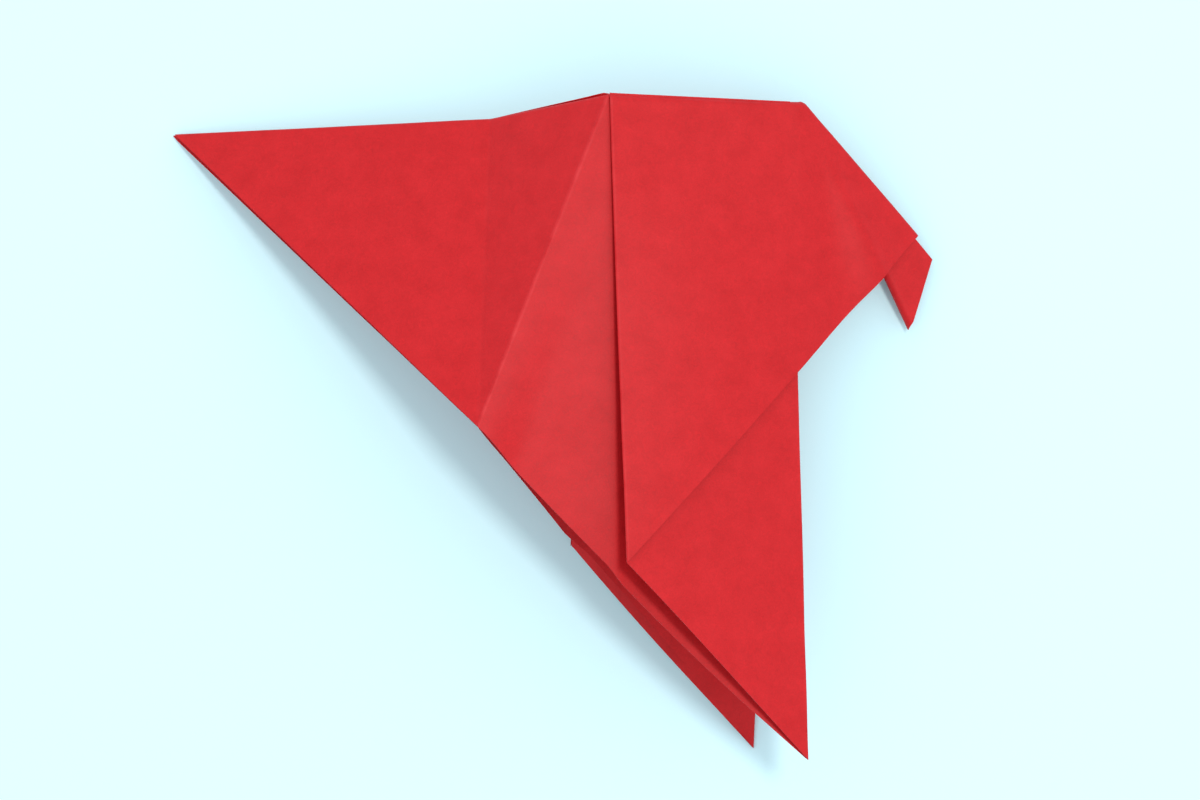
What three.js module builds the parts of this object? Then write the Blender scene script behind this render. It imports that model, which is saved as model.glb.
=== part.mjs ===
// A bird folded from one square sheet of paper, lying on its side.
//
// The sheet is folded in half along its diagonal, so the bird has a near half (on top as it lies)
// and a far half (below), joined at the spine. Every flat panel between two creases is one mesh,
// and every crease is a group that turns the panels after it, so the bird folds up from the sheet.
//
// Sheet frame of each half: x runs along the spine from the tail towards the beak, y is 0 on the
// spine and negative out to the wing tip, z comes up out of the panel. Its origin is the front of
// the body, where the front fold meets the spine. All lengths are in millimetres.
import * as THREE from "three";

// ---- Driving dimensions of the sheet and its creases ----
const SHEET_SIDE = 150; // the square sheet
const PAPER_THICKNESS = 0.1;
const LAYER_GAP = 0.3; // air between two folded layers
const CREASE_GAP = 0.3; // air between two panels along their crease
const PLEAT_WIDTH = 31.1; // from the front fold back to the pleat's rear fold
const HEAD_OVERHANG = 2.4; // from the front fold forward to the top of the head, over the body
const TAIL_CREASE = 53; // from the front fold back to the crease across the tail
const HEAD_ANGLE = 45; // head's front fold, from the spine
const RIDGE_ANGLE = 61; // head's soft ridge over the layers inside it, from the spine
const TUCK_ANGLE = 29.2; // crease between the two hidden head layers, from the spine
const BEAK_ANGLE = 14.7; // beak's front fold, from the spine

// ---- How far each crease is folded as the bird lies, in degrees ----
const NEAR = {
  name: "near",
  outward: 1,
  roll: -6.6,
  wing: 13,
  gusset: 38.1,
  tail: -18.8,
  pleatOpen: 0,
  neck: 0,
  head: -12,
  brow: 15.7,
};
const FAR = {
  name: "far",
  outward: -1,
  roll: 5,
  wing: -16.4,
  gusset: 71.3,
  tail: -20.7,
  pleatOpen: 1,
  neck: 1,
  head: 9.8,
  brow: -9,
};
const BODY_YAW = -1;
const BODY_DROOP = 19.7; // the body runs down from the pleat towards the head

// ---- Layers ----
const LAYER_PITCH = PAPER_THICKNESS + LAYER_GAP;
const TUCK_DEPTH = 3; // layers from the brow in to the head tuck
const HEAD_LAYERS = 7; // layers from one brow to the other
const BODY_LAYERS_OUT = 2; // layers from the body's base out to the neck flap
const BASE_LIFT = (HEAD_LAYERS / 2 - BODY_LAYERS_OUT) * LAYER_PITCH;

// ---- Corners of the panels, in the sheet frame ----
const HALF_DIAGONAL = SHEET_SIDE / Math.SQRT2;
const radians = THREE.MathUtils.degToRad;
const point = (x, y) => new THREE.Vector2(x, y);

// The raw edge from a wing tip to a sheet corner runs at 45 degrees, so it is reached this far out.
const edgeAt = (x) => point(x, Math.abs(x) - HALF_DIAGONAL);
const onSpine = (x) => point(x, 0);

const tailTip = onSpine(-HALF_DIAGONAL);
const tailTop = onSpine(-TAIL_CREASE);
const tailEdge = edgeAt(-TAIL_CREASE);
const pleatTop = onSpine(-PLEAT_WIDTH);
const pleatEdge = edgeAt(-PLEAT_WIDTH);
const frontTop = onSpine(0);
const wingTip = edgeAt(0);
// The neck flap runs back over the pleat and then on past the front fold to the head.
const NECK_WIDTH = PLEAT_WIDTH + HEAD_OVERHANG;
const neckTop = onSpine(PLEAT_WIDTH);
const neckEdge = edgeAt(PLEAT_WIDTH);
const headTop = onSpine(PLEAT_WIDTH + NECK_WIDTH);
const headEdge = edgeAt(PLEAT_WIDTH + NECK_WIDTH);
const beakTip = onSpine(HALF_DIAGONAL);

// Where a line that leaves the top of the head at an angle below the spine meets the raw edge.
function headRay(degrees) {
  const run = HALF_DIAGONAL - headTop.x;
  const angle = radians(degrees);
  const length = run / (Math.cos(angle) + Math.sin(angle));
  return point(headTop.x + length * Math.cos(angle), -length * Math.sin(angle));
}
// The folded layers inside the head reach back to the beak's spine or to the tuck's crease, and
// the ridge is never in front of them.
const BEAK_SPINE_ANGLE = 2 * (HEAD_ANGLE - TUCK_ANGLE + BEAK_ANGLE);
const TUCK_REAR_ANGLE = 2 * HEAD_ANGLE - TUCK_ANGLE;
const browFront = headRay(HEAD_ANGLE);
const browRear = headRay(Math.max(RIDGE_ANGLE, BEAK_SPINE_ANGLE, TUCK_REAR_ANGLE));
const tuckEdge = headRay(TUCK_ANGLE);
const beakEdge = headRay(BEAK_ANGLE);

// ---- Paper panels ----
const paper = new THREE.MeshStandardMaterial({ color: 0xc8283a, roughness: 0.85, metalness: 0 });

// An outline with each side moved inwards by its own distance, so that neighbours stay clear.
function insetOutline(corners, insets) {
  const turn = Math.sign(THREE.ShapeUtils.area(corners));
  const count = corners.length;
  const sides = corners.map((from, i) => {
    const along = corners[(i + 1) % count].clone().sub(from).normalize();
    const inward = point(-along.y * turn, along.x * turn);
    return { along, from: from.clone().addScaledVector(inward, insets[i]) };
  });
  return sides.map((side, i) => {
    const before = sides[(i + count - 1) % count];
    const cross = before.along.cross(side.along);
    const reach = side.from.clone().sub(before.from).cross(side.along) / cross;
    return before.from.clone().addScaledVector(before.along, reach);
  });
}

// One flat panel: a thin plate over the corners given as [corner, kind of the side after it].
const RAW = 0;
const CREASE = CREASE_GAP / 2;
function panel(parent, name, ...sides) {
  const corners = sides.map(([corner]) => corner);
  const insets = sides.map(([, inset]) => inset);
  const outline = new THREE.Shape(insetOutline(corners, insets));
  const geometry = new THREE.ExtrudeGeometry(outline, {
    depth: PAPER_THICKNESS,
    bevelEnabled: false,
  });
  geometry.translate(0, 0, -PAPER_THICKNESS / 2);
  const mesh = new THREE.Mesh(geometry, paper);
  mesh.name = name;
  parent.add(mesh);
}

// A crease from one sheet point to another. It returns a group in which the sheet's own
// coordinates still hold, turned about the crease and moved off its parent by a number of layers.
function crease(parent, name, from, to, degrees, layers = 0) {
  const hinge = new THREE.Group();
  hinge.name = name;
  hinge.position.set(from.x, from.y, layers * LAYER_PITCH);
  const along = to.clone().sub(from).normalize();
  hinge.quaternion.setFromAxisAngle(new THREE.Vector3(along.x, along.y, 0), radians(degrees));
  const sheet = new THREE.Group();
  sheet.position.set(-from.x, -from.y, 0);
  hinge.add(sheet);
  parent.add(hinge);
  return sheet;
}

// ---- One half of the bird, from the body out to the tail and to the head ----
function half(bird, side) {
  const { name, outward } = side;
  const body = new THREE.Group();
  body.name = `${name}_body_frame`;
  body.rotation.set(radians(side.roll), radians(BODY_DROOP), radians(BODY_YAW), "ZYX");
  bird.add(body);
  const base = new THREE.Group();
  base.position.z = outward * BASE_LIFT;
  body.add(base);

  // Base layer: hidden wing root under the pleat, then the panels behind it.
  panel(base, `${name}_wing_root`,
    [frontTop, CREASE], [wingTip, RAW], [pleatEdge, CREASE], [pleatTop, CREASE]);
  const wing = crease(base, `${name}_wing_crease`, pleatTop, pleatEdge, side.wing);
  panel(wing, `${name}_wing`,
    [pleatTop, CREASE], [pleatEdge, RAW], [tailEdge, CREASE]);
  const gusset = crease(wing, `${name}_gusset_crease`, pleatTop, tailEdge, side.gusset);
  panel(gusset, `${name}_gusset`,
    [tailTop, CREASE], [pleatTop, CREASE], [tailEdge, CREASE]);
  const tail = crease(gusset, `${name}_tail_crease`, tailTop, tailEdge, side.tail);
  panel(tail, `${name}_tail`,
    [tailTip, CREASE], [tailTop, CREASE], [tailEdge, RAW]);

  // Middle layer: the pleat, folded back over the wing root at the front fold.
  const pleat = crease(base, `${name}_front_crease`,
    frontTop, wingTip, side.pleatOpen - 180, outward);
  panel(pleat, `${name}_pleat`,
    [frontTop, CREASE], [neckTop, CREASE], [neckEdge, RAW], [wingTip, CREASE]);

  // Outer layer: the neck flap, folded forward again, and the head in front of the body.
  const neck = crease(pleat, `${name}_rear_crease`,
    neckTop, neckEdge, 180 - side.neck, -outward);
  panel(neck, `${name}_neck`,
    [neckTop, CREASE], [headTop, CREASE], [headEdge, RAW], [neckEdge, CREASE]);
  const head = crease(neck, `${name}_head_crease`, headTop, headEdge, side.head);
  panel(head, `${name}_head`,
    [headTop, CREASE], [browRear, RAW], [headEdge, CREASE]);
  const brow = crease(head, `${name}_ridge_crease`, headTop, browRear, side.brow);
  panel(brow, `${name}_brow`,
    [headTop, CREASE], [browFront, RAW], [browRear, CREASE]);
  return brow;
}

// ---- The layers inside the head, and the beak that they end in ----
function beakHalf(brow, name, outward, browLayer) {
  const tuck = crease(brow, `${name}_brow_crease`,
    headTop, browFront, 180, browLayer - outward * TUCK_DEPTH);
  panel(tuck, `${name}_head_tuck`,
    [headTop, CREASE], [browFront, RAW], [tuckEdge, CREASE]);
  const inner = crease(tuck, `${name}_tuck_crease`, headTop, tuckEdge, 180, -outward);
  panel(inner, `${name}_beak_tuck`,
    [headTop, CREASE], [tuckEdge, RAW], [beakEdge, CREASE]);
  const beak = crease(inner, `${name}_beak_crease`, headTop, beakEdge, 180, outward);
  panel(beak, `${name}_beak`,
    [headTop, CREASE], [beakEdge, RAW], [beakTip, CREASE]);
}

// ---- The whole bird ----
const folded = new THREE.Group();
const nearBrow = half(folded, NEAR);
half(folded, FAR);
beakHalf(nearBrow, "near", 1, 0);
beakHalf(nearBrow, "far", -1, -HEAD_LAYERS);

// It lies on three corners: the tail's tip, the far wing's tip and the far brow's front corner.
folded.updateMatrixWorld(true);
function cornerOf(name, corner) {
  const place = new THREE.Vector3(corner.x, corner.y, 0);
  return folded.getObjectByName(name).localToWorld(place);
}
const ground = new THREE.Plane().setFromCoplanarPoints(
  cornerOf("far_tail", tailTip),
  cornerOf("far_wing_root", wingTip),
  cornerOf("far_brow", browFront),
);
const UP = new THREE.Vector3(0, 0, 1);
folded.quaternion.setFromUnitVectors(ground.normal, UP);

// The origin is on the ground, under the middle of the bird's box.
const box = new THREE.Box3().setFromObject(folded, true);
const middle = box.getCenter(new THREE.Vector3());
folded.position.set(-middle.x, -middle.y, -box.min.z);
const bird = new THREE.Group();
bird.add(folded);

export default bird;
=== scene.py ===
# %% [markdown]
# # A bird folded from one sheet of red paper
# The bird is a square sheet, folded on its diagonal, pleated behind the neck and folded inside
# itself at the head. It lies on its side, so one half is on top ("near") and one below ("far").
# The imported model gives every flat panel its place. Here each panel is rebuilt as thin curved
# paper, with rounded folds, springy layers and soft bends, and gets a paper finish. Sculpting or a
# cloth simulation could bend the paper too, but folding the sheet by formula keeps every crease
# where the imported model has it, and gives the same bird each time.

# %% Load the frame
import math

import bpy
import numpy as np
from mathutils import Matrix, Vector


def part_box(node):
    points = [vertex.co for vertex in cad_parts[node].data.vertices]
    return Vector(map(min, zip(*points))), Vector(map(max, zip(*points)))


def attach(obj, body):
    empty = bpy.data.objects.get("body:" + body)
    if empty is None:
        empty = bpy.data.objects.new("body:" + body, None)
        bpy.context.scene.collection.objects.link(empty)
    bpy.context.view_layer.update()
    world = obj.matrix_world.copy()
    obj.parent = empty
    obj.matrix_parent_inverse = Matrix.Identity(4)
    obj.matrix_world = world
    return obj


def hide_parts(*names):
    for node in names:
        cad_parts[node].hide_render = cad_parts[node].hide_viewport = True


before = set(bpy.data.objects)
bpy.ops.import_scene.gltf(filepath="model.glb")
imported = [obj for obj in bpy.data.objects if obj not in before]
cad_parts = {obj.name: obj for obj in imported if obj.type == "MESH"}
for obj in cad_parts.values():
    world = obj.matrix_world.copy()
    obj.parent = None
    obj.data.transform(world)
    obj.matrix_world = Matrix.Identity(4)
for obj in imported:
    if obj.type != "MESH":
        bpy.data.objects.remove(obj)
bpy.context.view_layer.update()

# %% [markdown]
# ## The sheet and its creases
# The real object is one flat square, so the pieces are drawn on the flat sheet first and folded
# afterwards. Modelling each panel in its final place would be quicker to see, but then edges that
# share a crease could drift apart. All lengths in this script are millimetres on the sheet, and
# become metres when a mesh is made. x runs along the spine from tail to beak, y is 0 on the spine
# and negative out to a wing tip, and z comes up out of the panel. These are the values that the
# packed panels were made with.

# %% Sizes of the sheet, its creases and its layers
MM = 0.001
SHEET_SIDE = 150
PAPER = 0.1
LAYER_GAP = 0.3
LAYER_PITCH = PAPER + LAYER_GAP
PLEAT_WIDTH = 31.1
HEAD_OVERHANG = 2.4
NECK_WIDTH = PLEAT_WIDTH + HEAD_OVERHANG
TAIL_CREASE = 53
HEAD_ANGLE = 45
BROW_CREASE_ANGLE = 61
TUCK_ANGLE = 29.2
BEAK_ANGLE = 14.7
TUCK_DEPTH = 3
HEAD_LAYERS = 7
BODY_LAYERS_OUT = 2
BASE_LIFT = (HEAD_LAYERS / 2 - BODY_LAYERS_OUT) * LAYER_PITCH
HALF_DIAGONAL = SHEET_SIDE / math.sqrt(2)

# %% How far each crease is folded, in degrees, on the half above and the half below
NEAR = {"name": "near", "out": 1, "roll": -6.6, "wing": 13, "gusset": 38.1, "tail": -18.8,
        "pleat": 0, "neck": 0, "head": -12, "brow": 15.7}
FAR = {"name": "far", "out": -1, "roll": 5, "wing": -16.4, "gusset": 71.3, "tail": -20.7,
       "pleat": 1, "neck": 1, "head": 9.8, "brow": -9}
BODY_YAW = -1
BODY_DROOP = 19.7
print("layers are", round(LAYER_PITCH, 2), "mm apart, the neck flap is", NECK_WIDTH, "mm wide")

# %% Corners of the panels on the sheet


def edge_at(x):
    """The point of the raw edge at x: the edge runs at 45 degrees out to the wing tip."""
    return np.array([x, abs(x) - HALF_DIAGONAL])


def on_spine(x):
    """The point of the spine at x."""
    return np.array([x, 0.0])


head_top = on_spine(PLEAT_WIDTH + NECK_WIDTH)


def head_ray(degrees):
    """Where a line from the top of the head, so many degrees below the spine, meets the raw edge."""
    angle = math.radians(degrees)
    reach = (HALF_DIAGONAL - head_top[0]) / (math.cos(angle) + math.sin(angle))
    return head_top + reach * np.array([math.cos(angle), -math.sin(angle)])


tail_tip = on_spine(-HALF_DIAGONAL)
tail_top = on_spine(-TAIL_CREASE)
tail_edge = edge_at(-TAIL_CREASE)
pleat_top = on_spine(-PLEAT_WIDTH)
pleat_edge = edge_at(-PLEAT_WIDTH)
front_top = on_spine(0)
wing_tip = edge_at(0)
neck_top = on_spine(PLEAT_WIDTH)
neck_edge = edge_at(PLEAT_WIDTH)
head_edge = edge_at(PLEAT_WIDTH + NECK_WIDTH)
beak_tip = on_spine(HALF_DIAGONAL)
brow_front = head_ray(HEAD_ANGLE)
beak_spine_angle = 2 * (HEAD_ANGLE - TUCK_ANGLE + BEAK_ANGLE)
tuck_rear_angle = 2 * HEAD_ANGLE - TUCK_ANGLE
brow_rear = head_ray(max(BROW_CREASE_ANGLE, beak_spine_angle, tuck_rear_angle))
tuck_edge = head_ray(TUCK_ANGLE)
beak_edge = head_ray(BEAK_ANGLE)
print("half diagonal", round(HALF_DIAGONAL, 1), "mm")

# %% [markdown]
# ## Folding the sheet
# A crease is a turn about a line. It could be an empty that its panel hangs from, but a bend needs
# the places of both its panels at once, so each panel's place is a 4 x 4 matrix: its parent's
# matrix, then a move to the crease, the turn, and the move back. The sheet's own coordinates
# still hold on every panel, and paper on both sides of a crease meets on the crease line.

# %% Turns, moves and creases


def turned(axis, degrees):
    """The matrix of a turn about an axis through the origin (Rodrigues' formula)."""
    x, y, z = np.array(axis, float) / np.linalg.norm(axis)
    angle = math.radians(degrees)
    cross = np.array([[0, -z, y], [z, 0, -x], [-y, x, 0]])
    matrix = np.eye(4)
    matrix[:3, :3] += math.sin(angle) * cross + (1 - math.cos(angle)) * cross @ cross
    return matrix


def moved(x, y, z=0.0):
    """The matrix of a move."""
    matrix = np.eye(4)
    matrix[:3, 3] = x, y, z
    return matrix


def crease(parent, start, end, degrees, layers=0):
    """A panel turned about the line from start to end, and moved off its parent by some layers."""
    along = end - start
    there = moved(start[0], start[1], layers * LAYER_PITCH)
    return parent @ there @ turned((along[0], along[1], 0), degrees) @ moved(-start[0], -start[1])


def folded_half(side):
    """The matrices of the panels of one half, from the wing root out to the tail and the head."""
    out = side["out"]
    body = turned((0, 0, 1), BODY_YAW) @ turned((0, 1, 0), BODY_DROOP)
    root = body @ turned((1, 0, 0), side["roll"]) @ moved(0, 0, out * BASE_LIFT)
    wing = crease(root, pleat_top, pleat_edge, side["wing"])
    gusset = crease(wing, pleat_top, tail_edge, side["gusset"])
    tail = crease(gusset, tail_top, tail_edge, side["tail"])
    pleat = crease(root, front_top, wing_tip, side["pleat"] - 180, out)
    neck = crease(pleat, neck_top, neck_edge, 180 - side["neck"], -out)
    head = crease(neck, head_top, head_edge, side["head"])
    brow = crease(head, head_top, brow_rear, side["brow"])
    return {"wing_root": root, "wing": wing, "gusset": gusset, "tail": tail, "pleat": pleat,
            "neck": neck, "head": head, "brow": brow}


def folded_beak(brow, out, brow_layer):
    """The matrices of the layers inside the head: two tucks and the beak that they end in."""
    tuck = crease(brow, head_top, brow_front, 180, brow_layer - out * TUCK_DEPTH)
    inner = crease(tuck, head_top, tuck_edge, 180, -out)
    return {"head_tuck": tuck, "beak_tuck": inner,
            "beak": crease(inner, head_top, beak_edge, 180, out)}


def place(matrix, points):
    """Sheet points (..., 3) carried by a matrix."""
    return points @ matrix[:3, :3].T + matrix[:3, 3]


panels = {"near": folded_half(NEAR), "far": folded_half(FAR)}
panels["near"].update(folded_beak(panels["near"]["brow"], 1, 0))
panels["far"].update(folded_beak(panels["near"]["brow"], -1, -HEAD_LAYERS))
print("panels folded:", sum(len(half) for half in panels.values()))

# %% [markdown]
# ## Laying the bird down
# The bird lies on three corners: the tail's tip, the far wing's tip and the far brow's front
# corner. Their plane is turned level. What is left is a plain move, and it could be typed in, but
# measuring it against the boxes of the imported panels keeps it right, and shows any misfit.

# %% Match the frame
OUTLINES = {
    "wing_root": (front_top, wing_tip, pleat_edge, pleat_top),
    "wing": (pleat_top, pleat_edge, tail_edge),
    "gusset": (tail_top, pleat_top, tail_edge),
    "tail": (tail_tip, tail_top, tail_edge),
    "pleat": (front_top, neck_top, neck_edge, wing_tip),
    "neck": (neck_top, head_top, head_edge, neck_edge),
    "head": (head_top, brow_rear, head_edge),
    "brow": (head_top, brow_front, brow_rear),
    "head_tuck": (head_top, brow_front, tuck_edge),
    "beak_tuck": (head_top, tuck_edge, beak_edge),
    "beak": (head_top, beak_edge, beak_tip),
}


def corner(side, panel, point):
    """Where one sheet corner of a panel lies."""
    return place(panels[side][panel], np.array([point[0], point[1], 0.0]))


def box_middle(points):
    """The middle of the box round some points."""
    return (points.max(axis=0) + points.min(axis=0)) / 2


feet = [corner("far", "tail", tail_tip), corner("far", "wing_root", wing_tip),
        corner("far", "brow", brow_front)]
up = np.cross(feet[1] - feet[0], feet[2] - feet[0])
up /= np.linalg.norm(up)
levelled = turned(np.cross(up, (0, 0, 1)), math.degrees(math.acos(up[2])))
for half in panels.values():
    for name in half:
        half[name] = levelled @ half[name]

steps = []
for side in panels:
    for name, outline in OUTLINES.items():
        corners = np.array([corner(side, name, point) for point in outline])
        packed = np.array(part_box(f"{side}_{name}")) / MM
        steps.append(box_middle(packed) - box_middle(corners))
step = np.median(steps, axis=0)
for half in panels.values():
    for name in half:
        half[name] = moved(*step) @ half[name]
misfit = np.abs(np.array(steps) - step).max()
print("the folded sheet meets the frame within", round(float(misfit), 2), "mm")

# %% [markdown]
# ## Paper that bends
# A rigid panel is flat, but paper turns a crease in a small radius and a soft bend in a wide one.
# A bevel would round a sharp edge, but here the bends run out to a point where creases meet. So a
# sheet point near a crease is carried by both panels' matrices, and the two answers are mixed by
# a smooth step of its distance from the crease, as wide as that bend is soft.

# %% Smooth steps and soft bends


def smooth(t):
    """A smooth step from 0 to 1: 3 t^2 - 2 t^3, with t kept between 0 and 1."""
    t = np.clip(t, 0, 1)
    return t * t * (3 - 2 * t)


def left_of(start, end):
    """The unit direction to the left of the line from start to end: its direction turned by 90
    degrees."""
    along = (end - start) / np.linalg.norm(end - start)
    return np.array([-along[1], along[0]])


def across(start, end, towards):
    """The unit direction at right angles to the line from start to end, on towards' side."""
    left = left_of(start, end)
    return left * np.sign(np.dot(towards - start, left))


def beyond(points, start, end, towards):
    """Distance of sheet points past the line from start to end, positive on towards' side."""
    return (points[..., :2] - start) @ across(start, end, towards)


def bent(points, here, matrix, start, end, towards, width):
    """Points placed by here, but by matrix past a crease, mixed over twice the width round it."""
    share = smooth(0.5 + beyond(points, start, end, towards) / (2 * width))[..., None]
    return here * (1 - share) + place(matrix, points) * share


# %% Bends, each so wide on both sides of its crease
WING_BEND = 2.0
RIDGE_BEND = 0.5
TAIL_BEND = 0.9
HEAD_BEND = 3.5
BROW_BEND = 2.2


def base_paper(side, points):
    """The base layer: wing root, wing, gusset and tail, joined across their creases."""
    panel = panels[side]
    here = place(panel["wing_root"], points)
    here = bent(points, here, panel["wing"], pleat_top, pleat_edge, tail_tip, WING_BEND)
    here = bent(points, here, panel["gusset"], pleat_top, tail_edge, tail_tip, RIDGE_BEND)
    return bent(points, here, panel["tail"], tail_top, tail_edge, tail_tip, TAIL_BEND)


def neck_paper(side, points):
    """The outer layer: neck flap, head and brow, joined across their soft bends."""
    panel = panels[side]
    here = place(panel["neck"], points)
    here = bent(points, here, panel["head"], head_top, head_edge, beak_tip, HEAD_BEND)
    return bent(points, here, panel["brow"], head_top, brow_rear, beak_tip, BROW_BEND)


def flat_paper(panel_name):
    """A layer that stays on one panel."""
    return lambda side, points: place(panels[side][panel_name], points)


# %% [markdown]
# ## Springy layers, curled edges and slack
# Folded paper never lies quite flat. The pleat springs open towards its free corner, the base
# sags under it, edges at a fold curl round towards the layer they join, and the whole sheet keeps
# a slight unevenness. Lattices or shape keys could push the paper about by hand. Formulas of the
# sheet point are used because neighbouring pieces then move alike where they meet. Paper doesn't
# stretch, so a layer that springs up also draws in.

# %% Spring of the pleat and the neck
NEAR_SPRING = 2.6
FAR_SPRING = 10.5
DRAW_SHARE = {"near": 1.0, "far": 0.7}
SPRING_POWER = 1.25
NECK_ARCH = 1.8
PLEAT_ARCH = 1.0
RIDGE_ANGLE = 64
RIDGE_SPREAD = 11
RIDGE_HEIGHT = 2.2
RIDGE_RUN_IN = 30
SPINE_DRAW = 0.58
PAST_CORNER = 1.3


def draw_in(height, width):
    """How much shorter a strip looks when it rises as t^2 to a height over its width: half the
    integral of the squared slope, which is 2/3 h^2 / w. At t it has reached t^3 of that."""
    return 2 / 3 * height ** 2 / width


def pleat_spring(side, points, from_fixed, width, towards):
    """How the pleat or the neck moves off the body: most at the free corner of the rear fold, not
    at all along its fixed side or the spine. The layer draws in towards its fixed side by what
    draw_in says, and towards the spine by a share of height squared over the neck's depth."""
    full = NEAR_SPRING if side == "near" else FAR_SPRING
    down = np.clip(points[..., 1] / neck_edge[1], 0, PAST_CORNER)
    share = np.clip(from_fixed / width, 0, 1)
    height = full * down ** SPRING_POWER
    shift = np.zeros_like(points)
    shift[..., 0] = towards * DRAW_SHARE[side] * draw_in(height, PLEAT_WIDTH) * share ** 3
    shift[..., 1] = SPINE_DRAW * (height * share ** 2) ** 2 / -neck_edge[1]
    shift[..., 2] = height * share ** 2
    return shift


def arch(share, points):
    """An arch from 0 to 1 and back over a strip, 4 s (1 - s), that fades in from the spine."""
    return 4 * share * (1 - share) * smooth(points[..., 1] / neck_edge[1] * 2)


def pleat_shape(side, points):
    """The pleat springs from the front fold, and the near one arches between its two folds."""
    shift = pleat_spring(side, points, points[..., 0], PLEAT_WIDTH, -1)
    if side == "near":
        share = np.clip(points[..., 0] / PLEAT_WIDTH, 0, 1)
        shift[..., 2] += PLEAT_ARCH * arch(share, points)
    return shift


def neck_shape(side, points):
    """The neck springs from the top of the head. The near one arches between its two folds, and
    its head has a soft ridge over the layers inside it: a bell of the angle at the head's top."""
    shift = pleat_spring(side, points, head_top[0] - points[..., 0], NECK_WIDTH, 1)
    if side == "near":
        share = np.clip((points[..., 0] - neck_top[0]) / NECK_WIDTH, 0, 1)
        from_top = points[..., :2] - head_top
        reach = np.linalg.norm(from_top, axis=-1)
        angle = np.degrees(np.arctan2(-from_top[..., 1], from_top[..., 0]))
        bell = np.exp(-(((angle - RIDGE_ANGLE) / RIDGE_SPREAD) ** 2))
        shift[..., 2] += NECK_ARCH * arch(share, points)
        shift[..., 2] += RIDGE_HEIGHT * smooth(reach / RIDGE_RUN_IN) * bell
    return shift


print("the near pleat draws in by", round(draw_in(NEAR_SPRING, PLEAT_WIDTH), 2), "mm")

# %% Sag of the base
NEAR_SAG = 3.2
FAR_SAG = -4.0
EDGE_SLACK = {"near": 0.78, "far": -1.35}
BELL_POWER = 0.55
SAG_RUN_IN = 9


def base_shape(side, points):
    """The base sags between the gusset's ridge and the front fold: a bell of the distance along
    the raw edge, times the squared distance from the spine. Its raw edge bows a little too."""
    along = (points[..., 0] - tail_edge[0]) / (wing_tip[0] - tail_edge[0])
    bell = np.sin(math.pi * np.clip(along, 0, 1) ** BELL_POWER)
    past_ridge = smooth(beyond(points, pleat_top, tail_edge, wing_tip) / SAG_RUN_IN)
    down = np.clip(points[..., 1] / pleat_edge[1], 0, PAST_CORNER) ** 2
    sag = NEAR_SAG if side == "near" else FAR_SAG
    shift = np.zeros_like(points)
    shift[..., 2] = -sag * bell * down * past_ridge
    shift[..., 0] = -EDGE_SLACK[side] * bell * down * past_ridge
    shift[..., 1] = shift[..., 0]
    return shift


# %% Curl of an edge


def curl(points, start, end, inside, width, depth, out):
    """A quarter round along the edge from start to end. A point at distance d inside the edge goes
    to distance w (1 - cos a) and sinks by h (1 - sin a), where a is a quarter turn times d / w.
    The depth h may be a function of the sheet point."""
    if callable(depth):
        depth = depth(points)
    distance = beyond(points, start, end, inside)
    turn = np.clip(distance / width, 0, 1) * math.pi / 2
    near = distance < width
    shift = np.where(near, width * (1 - np.cos(turn)) - np.clip(distance, 0, None), 0)
    points[..., :2] += shift[..., None] * across(start, end, inside)
    points[..., 2] -= out * np.where(near, depth * (1 - np.sin(turn)), 0)
    return points


# %% Unevenness of the whole sheet
UNEVEN = 0.16
SHORTEST_WAVE = 14
LONGEST_WAVE = 46
WAVE_COUNT = 9
FREE_AFTER = 6
rng = np.random.default_rng(7)
waves = [(rng.uniform(SHORTEST_WAVE, LONGEST_WAVE), rng.uniform(0, math.pi),
          rng.uniform(0, 2 * math.pi)) for _ in range(WAVE_COUNT)]


def unevenness(points):
    """The sheet's slight waviness: a few sine waves in random directions, the longest highest."""
    total = np.zeros(points.shape[:-1])
    for length, heading, phase in waves:
        along = points[..., 0] * math.cos(heading) + points[..., 1] * math.sin(heading)
        total += np.sin(2 * math.pi * along / length + phase) * length / LONGEST_WAVE
    return UNEVEN * total / math.sqrt(len(waves))


def spare(sheet, corners):
    """How free the paper is to be uneven: nothing at the corners, and all of it a little away."""
    free = np.ones(sheet.shape[:-1])
    for point in corners:
        free = free * smooth(np.linalg.norm(sheet[..., :2] - point, axis=-1) / FREE_AFTER)
    return free


print("waves from", round(min(waves)[0]), "to", round(max(waves)[0]), "mm long")

# %% [markdown]
# ## One piece of paper
# Each piece is a four-cornered patch of the sheet, cut into a grid whose rows crowd towards the
# edges, where the paper curls. Its middle surface is worked out first, then a front and a back
# face are set half a paper's thickness off it and their rims are joined, so the piece is closed.
# A Solidify modifier would thicken a bare grid too, but faces made here stay the same everywhere
# the mesh goes. Each piece keeps its flat coordinates as its UV map, like print on the sheet.

# %% The grid and the closed sheet
ROWS = 84
COLUMNS = 84
TIP = 0.12
RIM_ANGLE = 50
# Width of the pale crease band: crease wear plus a painted highlight along the ridge.
WEAR_AND_HIGHLIGHT_WIDTH = 0.5


def crowded(count):
    """Steps from 0 to 1 that crowd at both ends: half of 1 - cos."""
    return 0.5 - 0.5 * np.cos(np.linspace(0, math.pi, count))


def patch(corners):
    """Sheet points over four corners: straight lines mixed in both directions. A triangle comes
    as three corners, and its first one is blunted to a hair's width."""
    corners = [np.array(c, float) for c in corners]
    if len(corners) == 3:
        apex, second, third = corners
        share = TIP / np.linalg.norm(third - second)
        corners = [apex + (second - apex) * share, second, third, apex + (third - apex) * share]
    side_on = crowded(COLUMNS)[None, :, None]
    down = crowded(ROWS)[:, None, None]
    one, two, three, four = corners
    top = one * (1 - side_on) + four * side_on
    bottom = two * (1 - side_on) + three * side_on
    flat = top * (1 - down) + bottom * down
    return np.concatenate([flat, np.zeros((ROWS, COLUMNS, 1))], axis=-1)


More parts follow.
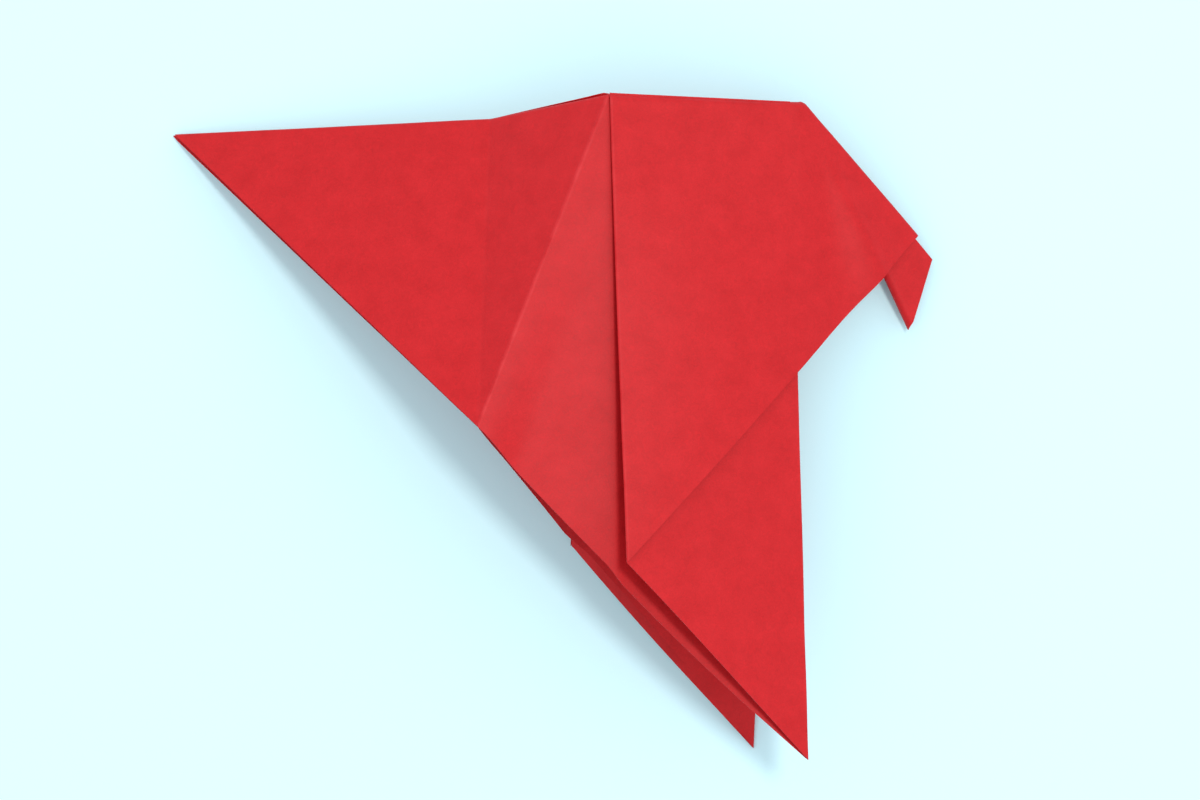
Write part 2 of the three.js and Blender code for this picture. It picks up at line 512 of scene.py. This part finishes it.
def closed_faces(rows, columns):
    """Faces of a front grid, a back grid turned round, and a rim between them."""
    grid = np.arange(rows * columns).reshape(rows, columns)
    back = grid + rows * columns
    front_faces = np.stack([grid[:-1, :-1], grid[:-1, 1:], grid[1:, 1:], grid[1:, :-1]], -1)
    back_faces = np.stack([back[:-1, :-1], back[1:, :-1], back[1:, 1:], back[:-1, 1:]], -1)
    ring = np.concatenate([grid[0, :-1], grid[:-1, -1], grid[-1, :0:-1], grid[:0:-1, 0]])
    after = np.roll(ring, -1)
    rim = np.stack([after, ring, ring + rows * columns, after + rows * columns], -1)
    return np.concatenate([front_faces.reshape(-1, 4), back_faces.reshape(-1, 4), rim])


def surface_normals(grid):
    """Unit normals of a grid: the cross product of its two directions."""
    normal = np.cross(np.gradient(grid, axis=1), np.gradient(grid, axis=0))
    return normal / np.maximum(np.linalg.norm(normal, axis=-1, keepdims=True), 1e-12)


def crease_wear_and_highlight(flat, creases):
    """The paler crease band of flat sheet points, partly wear and partly a painted ridge highlight:
    each crease's strength on it, none a band's width away.
    """
    wear_and_highlight = np.zeros(len(flat))
    for start, end, strength in creases:
        distance = np.abs((flat - start) @ left_of(start, end))
        wear_and_highlight = np.maximum(wear_and_highlight, strength * (1 - smooth(distance / WEAR_AND_HIGHLIGHT_WIDTH)))
    return wear_and_highlight


def paper_piece(name, sheet, middle, creases):
    """A closed mesh round the middle surface, with the sheet's own coordinates as its UV map and
    the paler crease band (wear plus a painted highlight) as an attribute."""
    normal = surface_normals(middle)
    front = (middle + normal * PAPER / 2).reshape(-1, 3)
    back = (middle - normal * PAPER / 2).reshape(-1, 3)
    vertices = np.concatenate([front, back]) * MM
    mesh = bpy.data.meshes.new(name)
    mesh.from_pydata(vertices, [], closed_faces(ROWS, COLUMNS))
    flat = np.tile(sheet[..., :2].reshape(-1, 2), (2, 1))
    loops = np.empty(len(mesh.loops), dtype=np.int32)
    mesh.loops.foreach_get("vertex_index", loops)
    uv = mesh.uv_layers.new(name="sheet")
    uv.data.foreach_set("uv", (flat[loops] / SHEET_SIDE).astype(np.float32).ravel())
    # The crease band is partly wear and partly a painted highlight where the ridge catches light.
    wear_and_highlight = mesh.attributes.new("wear_and_highlight", "FLOAT", "POINT")
    wear_and_highlight.data.foreach_set("value", crease_wear_and_highlight(flat, creases).astype(np.float32))
    mesh.shade_smooth()
    mesh.set_sharp_from_angle(angle=math.radians(RIM_ANGLE))
    mesh.validate()
    piece = bpy.data.objects.new(name, mesh)
    bpy.context.scene.collection.objects.link(piece)
    return piece


print("a piece has", 2 * ROWS * COLUMNS, "points")

# %% [markdown]
# ## The pieces of one half
# On the real bird every crease is a hinge. Panels that turn together are one piece here, so that
# their shared bend is smooth, and panels that turn apart are pieces of their own, so that each can
# ride on its body. The spine's edges curl down to meet the other half, and each curl's radius is
# half the distance between the halves there.

# %% How wide each edge curls
SPINE_GAP = 0.09


def spine_radius(panel, point):
    """Half the distance between the two halves at a point of the spine, less a hair's gap."""
    gap = corner("near", panel, point) - corner("far", panel, point)
    return float(np.linalg.norm(gap)) / 2 - SPINE_GAP


BASE_CURL = spine_radius("wing_root", pleat_top)
NECK_DEPTH = spine_radius("neck", head_top)
NECK_CURL = 1.0
HEAD_OPENING = 0.4
HEAD_OPENS_OVER = 8
APEX_INSET = 1.5
TUCK_CURL = TUCK_DEPTH * LAYER_PITCH / 2
BEAK_CURL = (HEAD_LAYERS - 2) * LAYER_PITCH / 2
FOLD_CURL = LAYER_PITCH / 2


def neck_depth(points):
    """How deep the neck's spine curls: fully behind the head, and less where the head opens."""
    before_head = points[..., 0] - head_top[0] + HEAD_OPENS_OVER
    return NECK_DEPTH * (1 - HEAD_OPENING * smooth(before_head / HEAD_OPENS_OVER))


def inner_top(one, two):
    """The top corner of a hidden layer, a little inside the top of the head."""
    middle = (one + two) / 2 - head_top
    return head_top + APEX_INSET * middle / np.linalg.norm(middle)


print("curls at the spine:", round(BASE_CURL, 2), "mm on the body,", round(NECK_DEPTH, 2),
      "mm on the neck,", round(BEAK_CURL, 2), "mm on the beak")

# %% Make a layer


def make_layer(side, name, body, nodes, corners, paper, curls=(), creases=(), flipped=False,
               shape=None):
    """One piece of paper over some corners, folded by a paper function, riding on a body. A
    flipped layer lies face down on the layer before it, so its curls and waves turn over too."""
    turned_over = -1 if flipped else 1
    out = side["out"] * turned_over
    sheet = patch(corners)
    points = sheet.copy()
    points[..., 2] += turned_over * unevenness(sheet) * spare(sheet, corners)
    for start, end, inside, width, depth in curls:
        points = curl(points, start, end, inside, width, depth, out)
    if shape is not None:
        points += shape(side["name"], sheet) * (1, 1, out)
    middle = paper(side["name"], points)
    piece = paper_piece(f"{side['name']}_{name}_paper", sheet, middle, creases)
    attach(piece, body)
    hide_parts(*[f"{side['name']}_{node}" for node in nodes])
    return piece


# %% The two halves
# How strongly each crease is painted paler: partly wear, partly a painted highlight on the ridge.
RIDGE_WEAR_AND_HIGHLIGHT = 1.0
FOLD_WEAR_AND_HIGHLIGHT = 0.6
FAINT_WEAR_AND_HIGHLIGHT = 0.15
pieces = []
for side in (NEAR, FAR):
    half = side["name"]
    main_body = f"{half}_body"
    pleat_body = "near_pleat" if half == "near" else "far_body"
    neck_body = "near_neck" if half == "near" else "far_body"
    base_curl = (tail_tip, beak_tip, wing_tip, BASE_CURL, BASE_CURL)
    tail_wear_and_highlight = (tail_top, tail_edge, FAINT_WEAR_AND_HIGHLIGHT)
    ridge_wear_and_highlight = (pleat_top, tail_edge, RIDGE_WEAR_AND_HIGHLIGHT)
    pieces += [
        make_layer(side, "tail", f"{half}_tail", ["tail"], (tail_tip, tail_edge, tail_top),
                   base_paper, [base_curl], [tail_wear_and_highlight]),
        make_layer(side, "gusset", f"{half}_gusset", ["gusset"],
                   (tail_edge, pleat_top, tail_top), base_paper, [base_curl],
                   [tail_wear_and_highlight, ridge_wear_and_highlight]),
        make_layer(side, "wing", main_body, ["wing", "wing_root"],
                   (pleat_top, tail_edge, wing_tip, front_top), base_paper,
                   [base_curl, (front_top, wing_tip, pleat_top, FOLD_CURL, -FOLD_CURL)],
                   [ridge_wear_and_highlight], shape=base_shape),
        make_layer(side, "pleat", pleat_body, ["pleat"],
                   (front_top, wing_tip, neck_edge, neck_top), flat_paper("pleat"),
                   [(front_top, wing_tip, neck_top, FOLD_CURL, FOLD_CURL),
                    (neck_top, neck_edge, front_top, FOLD_CURL, -FOLD_CURL)],
                   [(front_top, wing_tip, FOLD_WEAR_AND_HIGHLIGHT)], flipped=True, shape=pleat_shape),
        make_layer(side, "neck", neck_body, ["neck", "head", "brow"],
                   (neck_top, neck_edge, brow_front, head_top), neck_paper,
                   [(neck_top, neck_edge, head_top, FOLD_CURL, FOLD_CURL),
                    (neck_top, head_top, neck_edge, NECK_CURL, neck_depth),
                    (head_top, brow_front, neck_edge, TUCK_CURL, TUCK_CURL)],
                   [(neck_top, neck_edge, FOLD_WEAR_AND_HIGHLIGHT), (head_top, brow_front, FAINT_WEAR_AND_HIGHLIGHT)],
                   shape=neck_shape),
        make_layer(side, "head_tuck", "beak", ["head_tuck"],
                   (inner_top(brow_front, tuck_edge), brow_front, tuck_edge),
                   flat_paper("head_tuck"), flipped=True),
        make_layer(side, "beak_tuck", "beak", ["beak_tuck"],
                   (inner_top(tuck_edge, beak_edge), tuck_edge, beak_edge),
                   flat_paper("beak_tuck")),
        make_layer(side, "beak", "beak", ["beak"],
                   (inner_top(beak_edge, beak_tip), beak_edge, beak_tip), flat_paper("beak"),
                   [(head_top, beak_edge, beak_tip, FOLD_CURL, FOLD_CURL),
                    (head_top, beak_tip, beak_edge, BEAK_CURL, BEAK_CURL)],
                   [(head_top, beak_edge, FAINT_WEAR_AND_HIGHLIGHT)], flipped=True),
    ]
print("paper pieces:", len(pieces))

# %% [markdown]
# ## Red paper
# Coloured folding paper is matt. Close to, it is a felt of short fibres: the colour is slightly
# cloudy, the surface has a fine tooth, and a crease is painted a little paler: partly wear where
# fibres stand up, partly a painted highlight where the fold's ridge catches the light.
# A scanned texture could show this too, but noise works at any size and needs no file. The grain
# is a node group, so that the colour, the roughness and the bump all see the same fibres.

# %% Fibre grain as a node group
PAPER_RED = (0.540, 0.0090, 0.0130)
CLOUDY_RED = (0.478, 0.0055, 0.0088)
# The paler crease colour: partly worn fibres, partly a painted highlight along the fold's ridge.
WORN_AND_HIGHLIT_RED = (0.60, 0.030, 0.034)
CLOUD_SIZE = 260.0
FIBRE_SIZE = 1700.0


def new_group(name, inputs, outputs):
    """An empty node group with named inputs and outputs."""
    group = bpy.data.node_groups.new(name, "ShaderNodeTree")
    for label, kind, value in inputs:
        socket = group.interface.new_socket(label, in_out="INPUT", socket_type=kind)
        socket.default_value = value
    for label, kind in outputs:
        group.interface.new_socket(label, in_out="OUTPUT", socket_type=kind)
    return group


def add(tree, kind, **values):
    """A node of one kind, with its settings and unlinked inputs given by name."""
    node = tree.nodes.new(kind)
    for key, value in values.items():
        if hasattr(node, key):
            setattr(node, key, value)
        else:
            node.inputs[key.replace("_", " ")].default_value = value
    return node


def fibre_grain():
    """Clouds and fibres of felted paper, as a mask for the colour and a height for the bump. Both
    sizes are noise scales, in waves per metre."""
    group = new_group("fibre_grain",
                      [("Cloud size", "NodeSocketFloat", CLOUD_SIZE),
                       ("Fibre size", "NodeSocketFloat", FIBRE_SIZE)],
                      [("Cloud", "NodeSocketFloat"), ("Height", "NodeSocketFloat")])
    inside = group.nodes.new("NodeGroupInput")
    outside = group.nodes.new("NodeGroupOutput")
    where = add(group, "ShaderNodeTexCoord")
    cloud = add(group, "ShaderNodeTexNoise", Detail=6.0, Roughness=0.62)
    fibre = add(group, "ShaderNodeTexNoise", Detail=8.0, Roughness=0.75, Distortion=1.6)
    link = group.links.new
    for noise, size in ((cloud, "Cloud size"), (fibre, "Fibre size")):
        link(where.outputs["Object"], noise.inputs["Vector"])
        link(inside.outputs[size], noise.inputs["Scale"])
    link(cloud.outputs["Fac"], outside.inputs["Cloud"])
    link(fibre.outputs["Fac"], outside.inputs["Height"])
    return group


grain = fibre_grain()
print("grain nodes:", len(grain.nodes))

# %% The paper material
GLOSS = 0.24
FLECK_SHARE = 0.4
CLOUD_RANGE = (0.30, 0.70)
ROUGH_RANGE = (0.44, 0.58)
TOOTH_STRENGTH = 0.5
TOOTH_HEIGHT = 0.06 * MM


def paper_material(name):
    """Matt red paper: cloudy colour, creases paler from wear and a painted highlight, a fine tooth
    and a very soft sheen.
    """
    material = bpy.data.materials.new(name)
    material.use_nodes = True
    tree = material.node_tree
    link = tree.links.new
    shader = tree.nodes["Principled BSDF"]
    shader.inputs["Specular IOR Level"].default_value = GLOSS
    felt = tree.nodes.new("ShaderNodeGroup")
    felt.node_tree = grain
    contrast = add(tree, "ShaderNodeMapRange", From_Min=CLOUD_RANGE[0], From_Max=CLOUD_RANGE[1])
    cloudy = add(tree, "ShaderNodeMix", data_type="RGBA")
    cloudy.inputs["A"].default_value = (*CLOUDY_RED, 1)
    cloudy.inputs["B"].default_value = (*PAPER_RED, 1)
    fleck = add(tree, "ShaderNodeMix", data_type="RGBA", blend_type="OVERLAY")
    fleck.inputs["Factor"].default_value = FLECK_SHARE
    # The crease band mixes in the paler red: wear plus a painted highlight.
    wear_and_highlight = add(tree, "ShaderNodeAttribute", attribute_name="wear_and_highlight")
    worn_and_highlit = add(tree, "ShaderNodeMix", data_type="RGBA")
    worn_and_highlit.inputs["B"].default_value = (*WORN_AND_HIGHLIT_RED, 1)
    patchy = add(tree, "ShaderNodeMath", operation="MULTIPLY")
    rough = add(tree, "ShaderNodeMapRange", To_Min=ROUGH_RANGE[0], To_Max=ROUGH_RANGE[1])
    bump = add(tree, "ShaderNodeBump", Strength=TOOTH_STRENGTH, Distance=TOOTH_HEIGHT)
    link(felt.outputs["Cloud"], contrast.inputs["Value"])
    link(contrast.outputs["Result"], cloudy.inputs["Factor"])
    link(cloudy.outputs["Result"], fleck.inputs["A"])
    link(felt.outputs["Height"], fleck.inputs["B"])
    link(wear_and_highlight.outputs["Fac"], patchy.inputs[0])
    link(contrast.outputs["Result"], patchy.inputs[1])
    link(patchy.outputs["Value"], worn_and_highlit.inputs["Factor"])
    link(fleck.outputs["Result"], worn_and_highlit.inputs["A"])
    link(worn_and_highlit.outputs["Result"], shader.inputs["Base Color"])
    link(felt.outputs["Height"], rough.inputs["Value"])
    link(rough.outputs["Result"], shader.inputs["Roughness"])
    link(felt.outputs["Height"], bump.inputs["Height"])
    link(bump.outputs["Normal"], shader.inputs["Normal"])
    return material


red_paper = paper_material("red_paper")
for piece in pieces:
    piece.data.materials.append(red_paper)
print("finish:", red_paper.name)

# %% [markdown]
# ## The table, the light and the camera
# The bird lies on a pale matt surface, under a small soft lamp high above it, off to the right and
# behind, with cool light from all round. One lamp gives the layers their shadows, and light from
# all round keeps them pale. More lamps could do that too, but each one adds an edge to the
# shadows. The camera looks straight down, from an arm's length above the table.

# %% Floor
FLOOR_SIZE = 4.0
FLOOR_DEPTH = 0.02
FLOOR_COLOUR = (0.615, 0.89, 0.95)
FLOOR_ROUGHNESS = 0.9
FLOOR_GLOSS = 0.1


def floor_mesh():
    """A thin closed slab under the bird."""
    half = FLOOR_SIZE / 2
    x, y, z = np.meshgrid((-half, half), (-half, half), (-FLOOR_DEPTH, 0.0), indexing="ij")
    vertices = np.stack([x, y, z], -1).reshape(-1, 3)
    faces = [(0, 1, 3, 2), (4, 6, 7, 5), (0, 4, 5, 1), (2, 3, 7, 6), (0, 2, 6, 4), (1, 5, 7, 3)]
    mesh = bpy.data.meshes.new("table")
    mesh.from_pydata(vertices, [], faces)
    return mesh


table = bpy.data.objects.new("table", floor_mesh())
bpy.context.scene.collection.objects.link(table)
table_finish = bpy.data.materials.new("pale_table")
table_finish.use_nodes = True
table_shader = table_finish.node_tree.nodes["Principled BSDF"]
table_shader.inputs["Base Color"].default_value = (*FLOOR_COLOUR, 1)
table_shader.inputs["Roughness"].default_value = FLOOR_ROUGHNESS
table_shader.inputs["Specular IOR Level"].default_value = FLOOR_GLOSS
table.data.materials.append(table_finish)
print("table:", FLOOR_SIZE, "m wide")

# %% Light
KEY_WATTS = 3.6
KEY_SIZE = 0.15
KEY_PLACE = (0.212, 0.176, 0.95)
KEY_COLOUR = (1.0, 0.96, 0.94)
SKY_COLOUR = (0.93, 0.96, 1.0)
SKY_STRENGTH = 1.04


def aim(thing, place_at, target):
    """Put a lamp somewhere and point it at a target."""
    thing.location = place_at
    direction = Vector(target) - Vector(place_at)
    thing.rotation_euler = direction.to_track_quat("-Z", "Y").to_euler()


key_data = bpy.data.lights.new("key", "AREA")
key_data.shape = "DISK"
key_data.size = KEY_SIZE
key_data.energy = KEY_WATTS
key_data.color = KEY_COLOUR
key = bpy.data.objects.new("key", key_data)
bpy.context.scene.collection.objects.link(key)
aim(key, KEY_PLACE, (0, 0, 0))

world = bpy.data.worlds.new("room")
world.use_nodes = True
background = world.node_tree.nodes["Background"]
background.inputs["Color"].default_value = (*SKY_COLOUR, 1)
background.inputs["Strength"].default_value = SKY_STRENGTH
bpy.context.scene.world = world
bpy.context.scene.view_settings.view_transform = "Standard"
print("lamp at", KEY_PLACE, "m,", KEY_WATTS, "W")

# %% Camera: its lens is the sensor's width times its height over the width that it sees
CAMERA_HEIGHT = 0.595
CAMERA_OVER = (0.0078, 0.0040)
SENSOR = 36.0
SEEN_WIDTH = 0.1977
camera_data = bpy.data.cameras.new("overhead")
camera_data.sensor_width = SENSOR
camera_data.lens = SENSOR * CAMERA_HEIGHT / SEEN_WIDTH
camera = bpy.data.objects.new("overhead", camera_data)
bpy.context.scene.collection.objects.link(camera)
camera.location = (*CAMERA_OVER, CAMERA_HEIGHT)
bpy.context.scene.camera = camera
print("lens", round(camera_data.lens, 1), "mm")
